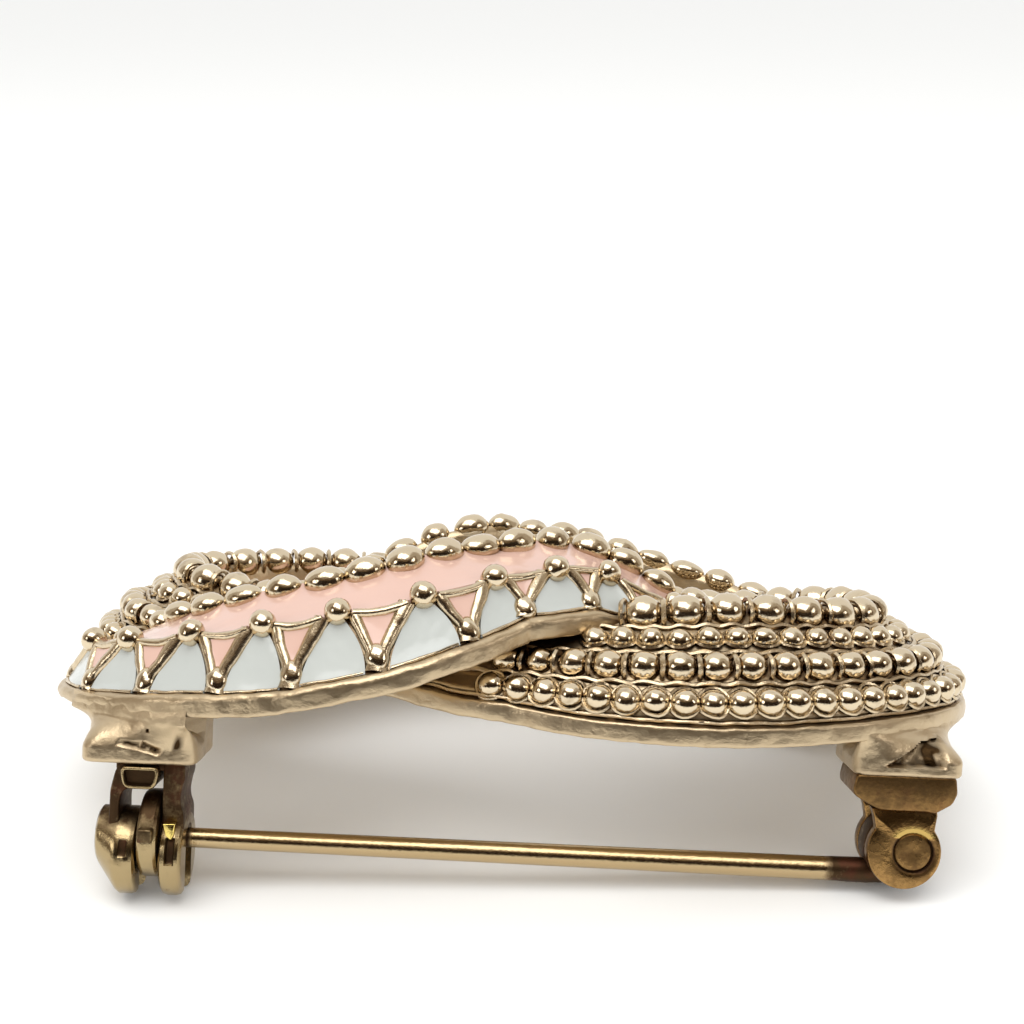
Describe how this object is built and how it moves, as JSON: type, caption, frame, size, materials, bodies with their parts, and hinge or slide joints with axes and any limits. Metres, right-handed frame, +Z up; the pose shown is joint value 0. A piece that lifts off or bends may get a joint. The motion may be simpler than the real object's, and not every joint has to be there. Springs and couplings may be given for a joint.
{
  "type": "brooch",
  "caption": "Oval openwork brooch of two interlaced bands, one enamelled and one beaded, with a hinged pin and a turning catch on the back",
  "frame": {"origin": "middle of the bounding box on the table that the brooch lies on", "axes": "+X along the oval from the catch to the hinge, +Y away from the pin across the oval, +Z up"},
  "size_m": [0.0494, 0.0312, 0.0161],
  "materials": {
    "cast_metal": "pale gold plated zinc casting, bright on the beads and darker between them",
    "pin_metal": "drawn brass wire, polished, tarnished near the hinge",
    "fitting_metal": "stamped brass, browned by tarnish",
    "pink_enamel": "glossy pale salmon enamel",
    "white_enamel": "glossy cool white enamel"
  },
  "bodies": {
    "root": {"cast_frame": "cast_metal", "pink_enamel": "pink_enamel", "white_enamel": "white_enamel", "catch_body": "fitting_metal", "hinge_base": "fitting_metal", "hinge_rivet": "fitting_metal"},
    "pin": {"pin_stem": "pin_metal"},
    "lock": {"catch_lock": "fitting_metal"}
  },
  "joints": [
    {"name": "pin_swing", "type": "hinge", "parent": "root", "child": "pin", "pos_m": [0.0202, -0.01282, 0.00225], "axis": [0.0073, -0.9551, 0.2963], "range_deg": [0, 85]},
    {"name": "lock_turn", "type": "hinge", "parent": "root", "child": "lock", "pos_m": [-0.01808, -0.01287, 0.003], "axis": [0.9988, -0.0073, -0.0481], "range_deg": [0, 90]}
  ]
}
